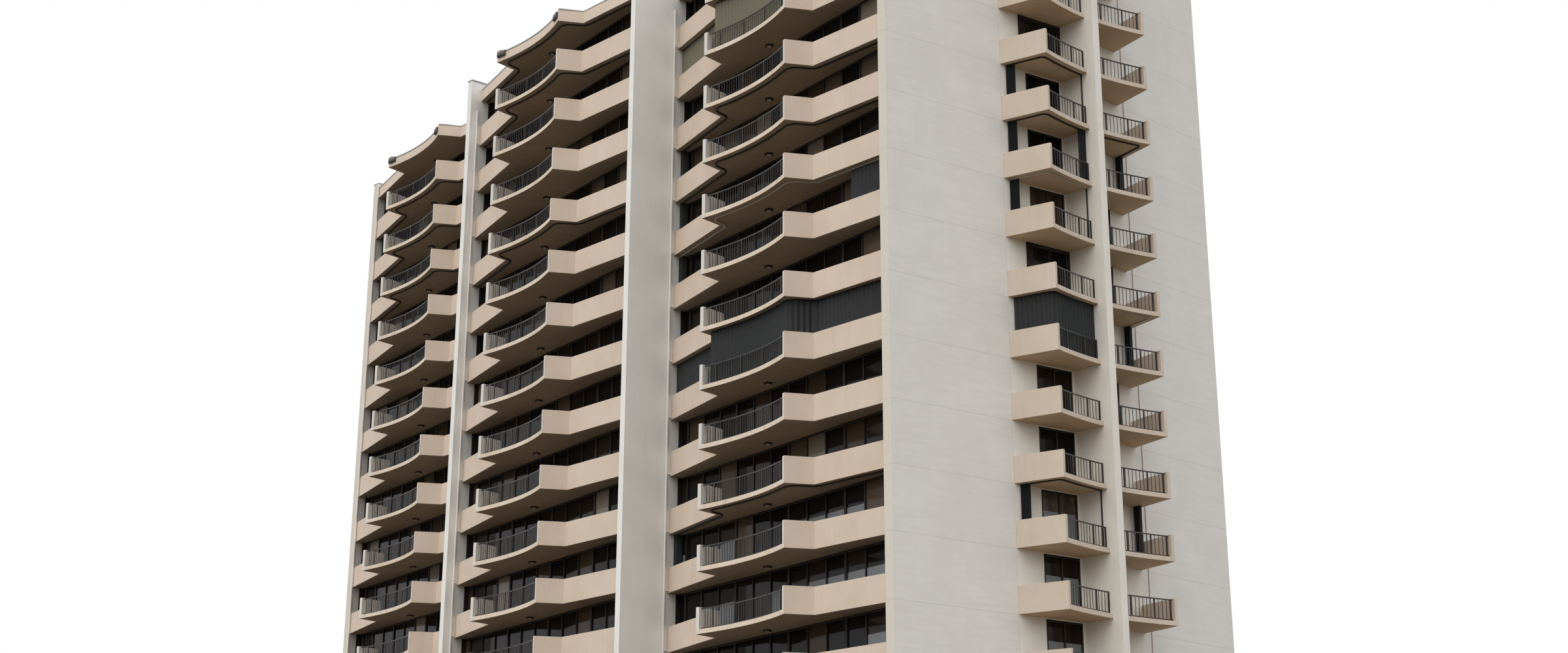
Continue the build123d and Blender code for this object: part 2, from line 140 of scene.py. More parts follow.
def cover(tree, shader):
    """Make a shader the surface of its material."""
    add(tree, "ShaderNodeOutputMaterial", {"Surface": shader.outputs[0]})


pale, tree = new_material("pale_ground")
from_camera = add(tree, "ShaderNodeLightPath").outputs["Is Camera Ray"]
ground_tone = blend(tree, from_camera, linear("#6E675F"), linear("#F2F0ED"))
cover(tree, add(tree, "ShaderNodeBsdfDiffuse", {"Color": ground_tone}))
reach = 160.0
square = [(-reach, -reach, 0), (reach, -reach, 0), (reach, reach, 0), (-reach, reach, 0)]
ground_mesh = bpy.data.meshes.new("pale_ground")
ground_mesh.from_pydata(square, [], [(0, 1, 2, 3)])
ground_mesh.materials.append(pale)
ground = bpy.data.objects.new("pale_ground", ground_mesh)
scene.collection.objects.link(ground)

# Painted render on the tower's concrete. Masonry paint over float-finished cement render is matt
# and a little uneven, with rain streaks under the edges and a fine sandy grain. Faces that look down
# get a tan darkened with painted shade, and the parapets' inner faces and wing ends a pale grey.
storey_height = 1.370
first_soffit = 1.550
storey_count = 17
slab_thickness = 0.100
block_depth = 10.200
block_pitch = 9.2453
block_origins = {"near": (0.0, 0.0), "middle": (-block_pitch, 0.220), "far": (-2 * block_pitch, 2.550)}
wing_end_out = 0.80


def noise(tree, place, scale, detail, roughness=0.5):
    """Noise of one scale over a place."""
    kind = {"Vector": place, "Scale": scale, "Detail": detail, "Roughness": roughness}
    return add(tree, "ShaderNodeTexNoise", kind).outputs["Fac"]


def vectors(tree, operation, first, second):
    """The result of a vector math node, which is one number for a dot product."""
    node = add(tree, "ShaderNodeVectorMath", {0: first, 1: second}, operation=operation)
    return node.outputs["Value" if operation == "DOT_PRODUCT" else "Vector"]


def weathering(tree, place, streak_share):
    """How worn a painted wall is from place to place: soft patches, and streaks where rain runs."""
    drawn_down = add(tree, "ShaderNodeMapping", {"Vector": place, "Scale": (7.0, 7.0, 0.55)}).outputs[0]
    patches = between(tree, noise(tree, place, 0.9, 5.0, 0.6), 0.3, 0.72, 0.0, 0.55)
    streaks = between(tree, noise(tree, drawn_down, 1.0, 6.0, 0.65), 0.5, 0.8, 0.0, streak_share)
    return calc(tree, "ADD", patches, streaks, use_clamp=True)


def on_inner_faces(tree, place, normal, origin):
    """1 on the inner faces and the wing ends of a block's bay parapets, and 0 on their other faces."""
    middle = (near_corner.x + origin[0], near_corner.y + origin[1] + block_depth / 2, 0.0)
    centre_x = -bay_length / 2 * math.cos(bay_turn)
    centre_y = bay_length / 2 * math.sin(bay_turn) - block_depth / 2
    straight_out = (-math.sin(bay_turn), -math.cos(bay_turn), 0.0)
    from_middle = vectors(tree, "SUBTRACT", place, middle)
    side = calc(tree, "SIGN", part_of(tree, from_middle, "Y"))
    hand = calc(tree, "MULTIPLY", side, -1.0)
    flip = add(tree, "ShaderNodeCombineXYZ", {0: 1.0, 1: hand, 2: 1.0}).outputs[0]
    spot = vectors(tree, "MULTIPLY", from_middle, flip)
    faces = vectors(tree, "MULTIPLY", normal, flip)
    to_centre = vectors(tree, "SUBTRACT", (centre_x, centre_y, 0.0), spot)
    level_way = vectors(tree, "MULTIPLY", to_centre, (1.0, 1.0, 0.0))
    inner = calc(tree, "GREATER_THAN", vectors(tree, "DOT_PRODUCT", faces, level_way), 0.02)
    tip_line = wing_end_out + block_depth / 2 * math.cos(bay_turn)
    at_tip = calc(tree, "GREATER_THAN", vectors(tree, "DOT_PRODUCT", spot, straight_out), tip_line)
    facing_out = calc(tree, "GREATER_THAN", vectors(tree, "DOT_PRODUCT", faces, straight_out), 0.7)
    return calc(tree, "MAXIMUM", inner, calc(tree, "MULTIPLY", at_tip, facing_out))


def storey_joints(tree, place, tone, shade):
    """A wall's colour with brush strokes, and with a fine wavy line where two storeys' casts meet."""
    wobble = noise(tree, place, 0.8, 3.0)
    level = calc(tree, "MULTIPLY_ADD", wobble, 0.02, part_of(tree, place, "Z"))
    from_joint = calc(tree, "PINGPONG", calc(tree, "ADD", level, -first_soffit), storey_height / 2)
    line = between(tree, from_joint, 0.004, 0.011, 0.22, 0.0)
    drawn_across = add(tree, "ShaderNodeMapping", {"Vector": place, "Scale": (1.2, 1.2, 11.0)}).outputs[0]
    strokes = between(tree, noise(tree, drawn_across, 1.0, 4.0, 0.6), 0.45, 0.75, 0.0, 0.5)
    return blend(tree, line, blend(tree, strokes, tone, linear(shade)), linear("#8E8B86"))


def painted_render(
    name, colour, shade, streak_share, ceiling=None, inside=None, ends=None, above=None, joints=False
):
    """Masonry paint on render, with own colours for some faces or above a height, and painted shade below."""
    paint, tree = new_material(name)
    place = add(tree, "ShaderNodeTexCoord").outputs["Object"]
    normal = add(tree, "ShaderNodeNewGeometry").outputs["True Normal"]
    dirt = weathering(tree, place, streak_share)
    tone = blend(tree, dirt, linear(colour), linear(shade))
    if inside:
        inner_tone = blend(tree, dirt, linear("#E4E1DA"), linear("#CFCAC1"))
        tone = blend(tree, on_inner_faces(tree, place, normal, inside), tone, inner_tone)
    # Faces that look down take the ceiling pair: a tan darkened with painted shade.
    if ceiling:
        below = calc(tree, "LESS_THAN", part_of(tree, normal, "Z"), -0.5)
        tone = blend(tree, below, tone, blend(tree, dirt, linear(ceiling[0]), linear(ceiling[1])))
    if ends:
        along_y = calc(tree, "ABSOLUTE", part_of(tree, normal, "Y"))
        tone = blend(tree, calc(tree, "GREATER_THAN", along_y, 0.7), tone, linear(ends))
    if above:
        higher = calc(tree, "GREATER_THAN", part_of(tree, place, "Z"), above[0])
        tone = blend(tree, higher, tone, linear(above[1]))
    if joints:
        tone = storey_joints(tree, place, tone, shade)
    grain = noise(tree, place, 42.0, 4.0)
    bump = add(tree, "ShaderNodeBump", {"Height": grain, "Strength": 0.25, "Distance": 0.004}).outputs[0]
    rounded = add(tree, "ShaderNodeBevel", {"Radius": 0.012, "Normal": bump}, samples=4).outputs[0]
    coat = {"Base Color": tone, "Roughness": 0.85, "Specular IOR Level": 0.25, "Normal": rounded}
    cover(tree, add(tree, "ShaderNodeBsdfPrincipled", coat))
    return paint


def finish_nodes(material, *starts):
    """Give one finish to every CAD node whose name begins with one of the words."""
    for name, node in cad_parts.items():
        if name.startswith(starts):
            node.data.materials.clear()
            node.data.materials.append(material)


# The ceiling pairs are for faces that look down: a tan darkened with painted shade.
gable_ceiling_shade = ("#CFB799", "#B9A387")
floor_ceiling_shade = ("#9E8D79", "#887868")
edge_ceiling_shade = ("#A39583", "#8F8170")
cream = painted_render("cream_masonry_paint", "#DACCBC", "#C8B7A3", 0.35, ceiling=gable_ceiling_shade)
finish_nodes(cream, "gable_balconies", "gable_parapets", "gable_canopy", "ground_slab")
floor_paint = painted_render("stone_brown_paint_with_painted_shade_below", "#EBDDCB", "#CDB9A2", 0.6, ceiling=floor_ceiling_shade)
finish_nodes(floor_paint, "floors")
roof_paint = painted_render("roof_edge_paint", "#E4D4C4", "#D2C1AE", 0.3, ceiling=edge_ceiling_shade)
finish_nodes(roof_paint, "roof_edges", "roof_eaves")
for block, origin in block_origins.items():
    name = "parapet_paint_" + block
    parapet_paint = painted_render(name, "#DFCFBF", "#CDB9A5", 0.35, ceiling=edge_ceiling_shade, inside=origin)
    finish_nodes(parapet_paint, "front_parapets_" + block, "rear_parapets_" + block)

# Roof covering. Mineral-surfaced roofing felt, laid in rolls that are 1 m wide on the real roof and
# half that on the model: grey stone chips on top with darker laps, and below a tan darkened with painted
# shade.
roll_width = 0.50
felt, tree = new_material("mineral_roofing_felt")
place = add(tree, "ShaderNodeTexCoord").outputs["Object"]
normal = add(tree, "ShaderNodeNewGeometry").outputs["True Normal"]
chips = noise(tree, place, 60.0, 4.0)
weathered = calc(tree, "MULTIPLY", chips, noise(tree, place, 0.7, 5.0))
chip_share = between(tree, weathered, 0.12, 0.4, 0.0, 1.0)
chip_tone = blend(tree, chip_share, linear("#8A8883"), linear("#B4B1AA"))
from_lap = calc(tree, "PINGPONG", part_of(tree, place, "X"), roll_width / 2)
lapped = blend(tree, between(tree, from_lap, 0.004, 0.012, 0.7, 0.0), chip_tone, linear("#5E5C58"))
below = calc(tree, "LESS_THAN", part_of(tree, normal, "Z"), -0.5)
# The underside takes a tan darkened with painted shade, as the ceilings do.
felt_tone = blend(tree, below, lapped, linear("#94836F"))
chip_bump = add(tree, "ShaderNodeBump", {"Height": chips, "Strength": 0.3, "Distance": 0.004}).outputs[0]
felt_look = {"Base Color": felt_tone, "Roughness": 0.9, "Normal": chip_bump}
cover(tree, add(tree, "ShaderNodeBsdfPrincipled", felt_look))
roof_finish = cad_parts["roof"].data.materials
roof_finish.clear()
roof_finish.append(felt)

# Pale grey painted render on the tall walls: the two gables, the cross walls, the fins and the wall
# between the balcony doors. On the gables the casts of two storeys meet in a fine horizontal joint.
# The drain pipes are painted with the walls.
pale_grey = painted_render("pale_grey_masonry_paint", "#F2EEE4", "#E0DACE", 0.2)
jointed_grey = painted_render(
    "jointed_grey_masonry_paint", "#EBE8E2", "#DDD9D1", 0.2, ends="#DAD3C5", joints=True
)
cool_grey = painted_render("cool_grey_masonry_paint", "#F2F2ED", "#E2DFDA", 0.25)
pipe_paint = painted_render("painted_pipe", "#F0EDE9", "#D6D0C8", 0.5)
finish_nodes(cool_grey, "cross_wall")
finish_nodes(pale_grey, "gable_fin", "gable_piers", "gable_lintels")
finish_nodes(jointed_grey, "gable_walls")
finish_nodes(pipe_paint, "drain_pipes")

# Glass. Float glass in front of drawn curtains and dim rooms, which are painted on it. Each pane
# shows its own curtain, with painted light and shade in its folds, or a dim room's darkness as painted
# shade; on the near block's lower storeys some panes have a grey net curtain over their lower part.
# The glass over it is glossy.
pane_width = block_pitch / 13
first_mullion = 0.270
glass_line = -0.350
pane_start = first_mullion * math.cos(bay_turn) + glass_line * math.sin(bay_turn)
netted_storeys = 7
near_block_length = 9.2
net_height = 0.66
glass_over_painted_rooms, tree = new_material("float_glass_over_painted_rooms")
place = add(tree, "ShaderNodeTexCoord").outputs["Object"]
from_corner = calc(tree, "ADD", part_of(tree, place, "X"), -near_corner.x)
panes_along = calc(tree, "DIVIDE", calc(tree, "ADD", from_corner, pane_start), pane_width)
column = calc(tree, "FLOOR", panes_along)
over_first = calc(tree, "ADD", part_of(tree, place, "Z"), -first_soffit)
storeys_up = calc(tree, "DIVIDE", over_first, storey_height)
row = calc(tree, "FLOOR", storeys_up)
side = calc(tree, "SIGN", part_of(tree, place, "Y"))
cell = add(tree, "ShaderNodeCombineXYZ", {0: column, 1: side, 2: row}).outputs[0]
chance = add(tree, "ShaderNodeTexWhiteNoise", {"Vector": cell}, noise_dimensions="3D").outputs
# Each pane's colour by chance: the near-black steps are painted shade for dim rooms, the others curtains.
ramp = add(tree, "ShaderNodeValToRGB", {"Fac": chance["Value"]})
steps = ramp.color_ramp
steps.interpolation = "CONSTANT"
steps.elements[0].color = linear("#1A1817")
steps.elements[1].position = 0.42
steps.elements[1].color = linear("#2A221D")
more_steps = {0.6: "#201E1C", 0.72: "#4A3C30", 0.82: "#2E2823", 0.9: "#5E5145", 0.96: "#8A8072"}
for position, colour in more_steps.items():
    steps.elements.new(position).color = linear(colour)
# Bands of painted light and shade for the curtains' folds.
waves = {"Vector": place, "Scale": 9.0, "Distortion": 1.5, "Detail": 1.0}
folds = add(tree, "ShaderNodeTexWave", waves, wave_type="BANDS", bands_direction="X").outputs["Fac"]
fold_shade = between(tree, folds, 0.0, 1.0, 0.55, 1.1)
cloth = blend(tree, 1.0, ramp.outputs["Color"], fold_shade, blend_type="MULTIPLY")
low_part = calc(tree, "LESS_THAN", calc(tree, "FRACT", storeys_up), net_height)
low_storey = calc(tree, "LESS_THAN", row, netted_storeys - 0.5)
near_block = calc(tree, "GREATER_THAN", from_corner, -near_block_length)
second_chance = add(tree, "ShaderNodeSeparateColor", {0: chance["Color"]}).outputs[1]
netted = calc(tree, "GREATER_THAN", second_chance, 0.45)
for also in (low_part, low_storey, near_block):
    netted = calc(tree, "MULTIPLY", netted, also)
behind = blend(tree, netted, cloth, linear("#7C8183"))
pane_look = {"Base Color": behind, "Roughness": 0.06, "IOR": 1.45, "Specular IOR Level": 0.12}
cover(tree, add(tree, "ShaderNodeBsdfPrincipled", pane_look))
finish_nodes(glass_over_painted_rooms, "glazing", "gable_doors")


# Railings and storm shutters. The railings are welded steel, dipped and painted dark bronze, satin;
# the same satin paint, in other colours, is on the window frames, the tracks and the cappings. The
# shutters are dark grey, and those of the two top storeys a greenish grey.
def satin_paint(name, colour, worn, roughness):
    """Satin paint on metal, a little uneven and slightly worn."""
    metal, tree = new_material(name)
    place = add(tree, "ShaderNodeTexCoord").outputs["Object"]
    tone = blend(tree, noise(tree, place, 6.0, 5.0), linear(colour), linear(worn))
    cover(tree, add(tree, "ShaderNodeBsdfPrincipled", {"Base Color": tone, "Roughness": roughness}))
    return metal


steel = satin_paint("dark_bronze_painted_steel", "#262321", "#3F3B37", 0.42)
finish_nodes(steel, "front_railings", "rear_railings", "gable_railings")
upper_shutters = (first_soffit + storey_height * 15, "#7C7766")
shutter_paint = painted_render("dark_grey_shutter_paint", "#3B3D3D", "#303232", 0.2, above=upper_shutters)
finish_nodes(shutter_paint, "storm_shutters")

# Balusters. Square steel bars welded between the two rails of every balcony, painted with them. On
# the hollow curve of the bays they make ten even spaces between two main posts; along the front
# edges of the gable balconies one stands every 100 mm.
panel_turn = math.radians(7.2)
panel_length = 2.620
panel_out = panel_length * math.tan(panel_turn)
wing_inward = 0.215
wing_outward = 0.630
curve_depth = 0.215
soffits = [first_soffit + storey_height * i for i in range(storey_count)]
roof_soffit = first_soffit + storey_height * storey_count
tip = (panel_length + wing_inward, panel_out + wing_outward)
half_chord = bay_length / 2 - tip[0]
curve_radius = (half_chord ** 2 + curve_depth ** 2) / (2 * curve_depth)
bay_sides = [(block, rear) for block in block_origins for rear in (False, True)]


def bay_line(block, rear, points, level):
    """Points given along and out from a block's front or rear bay, as points of the scene."""
    block_x, block_y = block_origins[block]
    line = []
    for along, out in points:
        x = -along * math.cos(bay_turn) - out * math.sin(bay_turn)
        y = along * math.sin(bay_turn) - out * math.cos(bay_turn)
        y = block_depth - y if rear else y
        line.append((near_corner.x + block_x + x, near_corner.y + block_y + y, level))
    return line


def on_curve(from_middle, inset):
    """Along and out of a point on the bay's hollow curve, by its distance from the middle."""
    radius = curve_radius + inset
    angle = from_middle / radius
    centre_out = tip[1] - curve_depth + curve_radius
    return (bay_length / 2 + radius * math.sin(angle), centre_out - radius * math.cos(angle))


def mesh_object(name, corners, edges):
    """An object at the origin with its place in its mesh."""
    mesh = bpy.data.meshes.new(name)
    mesh.from_pydata([tuple(corner) for corner in corners], edges, [])
    mesh.update()
    made = bpy.data.objects.new(name, mesh)
    scene.collection.objects.link(made)
    return made


def lines_object(name, lines):
    """Lines through points, as one mesh of edges."""
    corners, edges = [], []
    for points in lines:
        first = len(corners)
        corners += points
        edges += [(first + i, first + i + 1) for i in range(len(points) - 1)]
    return mesh_object(name, corners, edges)


def new_tree(name, sizes):
    """A geometry tree, the identifiers of its inputs by name, and the inputs' sockets in the tree."""
    tree = bpy.data.node_groups.new(name, "GeometryNodeTree")
    tree.interface.new_socket(name="Geometry", in_out="INPUT", socket_type="NodeSocketGeometry")
    keys = {}
    for size, kind in sizes.items():
        made = tree.interface.new_socket(name=size, in_out="INPUT", socket_type="NodeSocket" + kind)
        keys[size] = made.identifier
    tree.interface.new_socket(name="Geometry", in_out="OUTPUT", socket_type="NodeSocketGeometry")
    return tree, keys, add(tree, "NodeGroupInput").outputs


def give_out(tree, shape, finish):
    """Make a tree's shape real, paint it and give it out."""
    real = add(tree, "GeometryNodeRealizeInstances", {"Geometry": shape})
    coated = {"Geometry": real.outputs["Geometry"], "Material": finish}
    painted = add(tree, "GeometryNodeSetMaterial", coated)
    add(tree, "NodeGroupOutput", {"Geometry": painted.outputs["Geometry"]})


def grow(piece, tree, keys, values):
    """Run a geometry tree on an object, keep the result as its plain mesh, and fix it to the tower."""
    maker = piece.modifiers.new("maker", "NODES")
    maker.node_group = tree
    for size, value in values.items():
        maker[keys[size]] = value
    bpy.context.view_layer.update()
    made = bpy.data.meshes.new_from_object(piece.evaluated_get(bpy.context.evaluated_depsgraph_get()))
    piece.modifiers.clear()
    old = piece.data
    piece.data = made
    bpy.data.meshes.remove(old)
    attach(piece, "root")


bar_inputs = {"Spacing": "Float", "Width": "Float", "Depth": "Float", "Height": "Float", "Finish": "Material"}
bars, bar_keys, given = new_tree("bars_on_lines", bar_inputs)
line = add(bars, "GeometryNodeMeshToCurve", {"Mesh": given["Geometry"]}).outputs["Curve"]
spots = add(bars, "GeometryNodeResampleCurve", {"Curve": line, "Length": given["Spacing"]}, mode="LENGTH")
heading = {"Vector": add(bars, "GeometryNodeInputTangent").outputs["Tangent"]}
facing = add(bars, "FunctionNodeAlignRotationToVector", heading, axis="X", pivot_axis="Z")
bar_sides = {0: given["Width"], 1: given["Depth"], 2: given["Height"]}
bar_size = add(bars, "ShaderNodeCombineXYZ", bar_sides).outputs[0]
lift = add(bars, "ShaderNodeCombineXYZ", {2: calc(bars, "MULTIPLY", given["Height"], 0.5)}).outputs[0]
bar = add(bars, "GeometryNodeMeshCube", {"Size": bar_size}).outputs["Mesh"]
standing = add(bars, "GeometryNodeTransform", {"Geometry": bar, "Translation": lift}).outputs["Geometry"]
placing = {"Points": spots.outputs["Curve"], "Instance": standing, "Rotation": facing.outputs["Rotation"]}
bar_row = add(bars, "GeometryNodeInstanceOnPoints", placing)
give_out(bars, bar_row.outputs["Instances"], given["Finish"])


def stand_bars(name, lines, spacing, section, bar_height, finish):
    """Upright bars at even spaces on every line, as one piece."""
    width, depth = section
    values = {"Spacing": spacing, "Width": width, "Depth": depth, "Height": bar_height, "Finish": finish}
    grow(lines_object(name, lines), bars, bar_keys, values)


baluster_section = (0.011, 0.011)
baluster_height = 0.430
baluster_spacing = 0.0878
gable_baluster_spacing = 0.100
just_under = 0.998
rail_inset = 0.0925
spaces_each_way = 18
half_row = spaces_each_way * baluster_spacing
bar_foot = slab_thickness + 0.025
rail_curve = [on_curve(half_row * (i / 6 - 1), rail_inset) for i in range(13)]
bay_rows = []
for block, rear in bay_sides:
    bay_rows += [bay_line(block, rear, rail_curve, level + bar_foot) for level in soffits]
stand_bars("bay_balusters", bay_rows, baluster_spacing * just_under, baluster_section, baluster_height, steel)

balcony_reach = 1.020
near_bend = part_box("gable_fin_near")[1].x - balcony_reach
far_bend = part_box("gable_fin_far")[0].x + balcony_reach
near_middle = near_corner.y + block_depth / 2
far_middle = near_middle + block_origins["far"][1]
gable_bends = {"near": (near_bend, near_middle, 1), "far": (far_bend, far_middle, -1)}
gable_sides = [(end, half) for end in gable_bends for half in (-1, 1)]
edge_outer = 1.715
edge_run = 1.610
edge_fall = 0.235
edge_hollow = 0.040
gable_rail_out = 0.9275
gable_rail_outer = 1.605
gable_rail_run = 1.455


def gable_line(end, half, points, level):
    """Points given out from a gable's bend and away from its middle, as points of the scene."""
    bend_x, bend_y, hand = gable_bends[end]
    return [(bend_x + hand * out, bend_y + half * across, level) for out, across in points]


def hollow_at(share):
    """How far a gable balcony's front edge stands back from straight, at a share of its length."""
    return 4 * edge_hollow * share * (1 - share)


gable_rail = []
for i in range(7):
    share = i / 6
    across = gable_rail_outer - gable_rail_run * share
    out = gable_rail_out - edge_fall * (edge_outer - across) / edge_run - hollow_at(share)
    gable_rail.append((out, across))
gable_rows = []
for end, half in gable_sides:
    gable_rows += [gable_line(end, half, gable_rail, level + bar_foot) for level in soffits]
stand_bars("gable_balusters", gable_rows, gable_baluster_spacing, baluster_section, baluster_height, steel)

# Window frames. Dark bronze anodised aluminium, screwed to the floor and ceiling in front of the
# glass: a mullion at every sliding leaf, a wider one where two sets meet, a head and a sill track.
bronze = satin_paint("dark_bronze_anodised_aluminium", "#15100E", "#241C18", 0.6)
clear_height = 1.270
ground_floor = 0.150
ground_height = 1.400
frame_line = -0.335
frame_depth = 0.028
leaf_width = pane_width / math.cos(bay_turn)
leaf_row = 12 * leaf_width
leaf_spacing = leaf_width * just_under
set_spacing = 3 * leaf_width * just_under
frame_starts = {"near": first_mullion, "middle": 0.040, "far": 0.040}
frame_end = 9.100
edge_height = 0.044
mullion_section = (0.040, frame_depth)
meeting_section = (0.080, 0.032)
leaf_ends = [(first_mullion, frame_line), (first_mullion + leaf_row, frame_line)]
leaf_rows, ground_rows, window_edges = [], [], []
for block, rear in bay_sides:
    whole = [(frame_starts[block], frame_line), (frame_end, frame_line)]
    for level in soffits:
        leaf_rows.append(bay_line(block, rear, leaf_ends, level + slab_thickness))
        window_edges.append(bay_line(block, rear, whole, level + slab_thickness + edge_height / 2))
        window_edges.append(bay_line(block, rear, whole, level + storey_height - edge_height / 2))
    ground_rows.append(bay_line(block, rear, leaf_ends, ground_floor))
stand_bars("window_mullions", leaf_rows, leaf_spacing, mullion_section, clear_height, bronze)
stand_bars("window_meeting_mullions", leaf_rows, set_spacing, meeting_section, clear_height, bronze)
stand_bars("ground_window_mullions", ground_rows, leaf_spacing, mullion_section, ground_height, bronze)

sweep_inputs = {"Width": "Float", "Height": "Float", "Corner": "Float", "Finish": "Material"}
swept, swept_keys, given = new_tree("bars_along_lines", sweep_inputs)
line = add(swept, "GeometryNodeMeshToCurve", {"Mesh": given["Geometry"]}).outputs["Curve"]
rounding = {"Curve": line, "Radius": given["Corner"], "Count": 4, "Limit Radius": True}
bent = add(swept, "GeometryNodeFilletCurve", rounding, mode="POLY").outputs["Curve"]
upright = add(swept, "GeometryNodeSetCurveNormal", {"Curve": bent}, mode="Z_UP").outputs["Curve"]
flat_section = {"Width": given["Width"], "Height": given["Height"]}
outline = add(swept, "GeometryNodeCurvePrimitiveQuadrilateral", flat_section).outputs["Curve"]
sweep = {"Curve": upright, "Profile Curve": outline, "Fill Caps": True}
give_out(swept, add(swept, "GeometryNodeCurveToMesh", sweep).outputs["Mesh"], given["Finish"])


def lay_bars(name, lines, width, bar_height, finish, slot, corner=0.0):
    """A flat bar along every line, as one piece, with its corners rounded off by a radius."""
    values = {"Width": width, "Height": bar_height, "Corner": corner, "Finish": finish}
    grow(lines_object(name, lines), swept, swept_keys, values)


lay_bars("window_heads_and_sills", window_edges, frame_depth, edge_height, bronze, "dark_metal")

# Window jambs. A deep jamb closes each window against the wall at the far end of its bay, except
# where the leaves of a folded storm shutter stand in its place.
stacked_shutters = (14, 13, 12, 7)
jamb_width = 0.114
jamb_ends = [(9.130, -0.292), (9.168, -0.292)]
jamb_lines = []
for block, rear in bay_sides:
    for i, level in enumerate(soffits):
        if rear or block != "near" or i + 1 not in stacked_shutters:
            jamb_lines.append(bay_line(block, rear, jamb_ends, level + slab_thickness + clear_height / 2))
lay_bars("window_end_jambs", jamb_lines, jamb_width, clear_height, bronze, "dark_metal")

# Shutter tracks. Extruded aluminium channels screwed to the ceilings, inside the panels, the wings
# and the railings, on which the folding storm shutters run. Most are dark, a few are white. The
# ceilings that have one are given by number, with 0 over the ground storey.
track_inset = 0.157
track_section = (0.044, 0.026)
track_corner = 0.300


def offset_path(points, distance):
    """A path moved to its right by a distance, with its corners mitred."""
    sides = []
    for (ax, ay), (bx, by) in zip(points, points[1:]):
        length = math.hypot(bx - ax, by - ay)
        sides.append(((by - ay) / length, (ax - bx) / length))
    moved = []
    for i, (x, y) in enumerate(points):
        (ax, ay), (bx, by) = sides[max(i - 1, 0)], sides[min(i, len(sides) - 1)]
        stretch = distance / (1 + ax * bx + ay * by)
        moved.append((x + (ax + bx) * stretch, y + (ay + by) * stretch))
    return moved


near_half = [(0.0, 0.0), (panel_length, panel_out), tip]
bay_edge = near_half + [on_curve(half_chord * i / 4, 0.0) for i in range(-3, 4)]
bay_edge += [(bay_length - along, out) for along, out in near_half[::-1]]
gable_reach = 5.330
gable_slope = 0.380 / gable_reach
strip_edge = 1.990
gable_edge = [(0.060 - gable_slope * strip_edge, 1.970), (balcony_reach, edge_outer)]
for i in range(1, 7):
    share = i / 6
    gable_edge.append((balcony_reach - edge_fall * share - hollow_at(share), edge_outer - edge_run * share))
track_path = offset_path(bay_edge, track_inset)
gable_track_path = offset_path(gable_edge, track_inset)
dark_tracks = {"near": (16, 14, 13, 10, 7), "middle": (17, 16, 13), "far": (16, 15, 14)}
pale_tracks = {"near": (12,)}
gable_dark_tracks = {-1: (14, 13, 10, 7), 1: (13,)}
gable_pale_tracks = {-1: (12,), 1: (10,)}


def track_lines(bay_ceilings, gable_ceilings):
    """The lines of the tracks under the given ceilings, for the front bays and the near gable."""
    half_up = track_section[1] / 2
    lines = []
    for block, numbers in bay_ceilings.items():
        levels = [first_soffit + storey_height * i - half_up for i in numbers]
        lines += [bay_line(block, False, track_path, level) for level in levels]
    for half, numbers in gable_ceilings.items():
        levels = [first_soffit + storey_height * i - half_up for i in numbers]
        lines += [gable_line("near", half, gable_track_path, level) for level in levels]
    return lines


dark_lines = track_lines(dark_tracks, gable_dark_tracks)
pale_lines = track_lines(pale_tracks, gable_pale_tracks)
dark_track = satin_paint("dark_grey_powder_coated_track", "#1D1A18", "#2A2624", 0.6)
lay_bars("shutter_tracks_dark", dark_lines, *track_section, dark_track, "shutter_metal", track_corner)
pale_track = satin_paint("white_powder_coated_track", "#C9C4BA", "#AFA99E", 0.5)
lay_bars("shutter_tracks_pale", pale_lines, *track_section, pale_track, "shutter_metal", track_corner)

# Folded storm shutters. On four storeys of the near block's front the leaves of the storm shutter
# stand folded at the far end of the bay, against the wall.
fold_spacing = 0.0219
fold_section = (0.015, 0.160)
fold_height = 1.240
stack_ends = [(9.040, -0.235), (9.150, -0.235)]
stacks = [bay_line("near", False, stack_ends, soffits[i - 1] + slab_thickness) for i in stacked_shutters]
stand_bars(
    "folded_shutter_stacks", stacks, fold_spacing, fold_section, fold_height, shutter_paint
)

# Ceiling lamps. One round lamp under the ceiling of every bay's balcony: a dark cast ring screwed to
# the concrete, with an opal glass in its middle that stands out a little below it.
round_inputs = {"Radius": "Float", "Depth": "Float", "Finish": "Material"}
rounds, round_keys, given = new_tree("rounds_at_points", round_inputs)
drum = {"Vertices": 16, "Radius": given["Radius"], "Depth": given["Depth"]}
can = add(rounds, "GeometryNodeMeshCylinder", drum).outputs["Mesh"]
placed = add(rounds, "GeometryNodeInstanceOnPoints", {"Points": given["Geometry"], "Instance": can})
give_out(rounds, placed.outputs["Instances"], given["Finish"])


def set_rounds(name, points, radius, depth, finish):
    """A round bar or disc at every point, as one piece."""
    values = {"Radius": radius, "Depth": depth, "Finish": finish}
    grow(mesh_object(name, points, []), rounds, round_keys, values)


lamp_place = [(4.880, 0.025)]
ring_radius = 0.100
ring_depth = 0.036
lens_radius = 0.056
lens_depth = 0.012
lens_drop = 0.004
lamp_spots, lens_spots = [], []
for block, rear in bay_sides:
    for level in soffits + [roof_soffit]:
        lamp_spots += bay_line(block, rear, lamp_place, level - ring_depth / 2)
        lens_spots += bay_line(block, rear, lamp_place, level - ring_depth - lens_drop)
set_rounds("ceiling_lamp_rings", lamp_spots, ring_radius, ring_depth, steel)
opal = satin_paint("opal_lamp_glass", "#B4AB9E", "#C6BDB0", 0.3)
set_rounds("ceiling_lamp_lenses", lens_spots, lens_radius, lens_depth, opal)

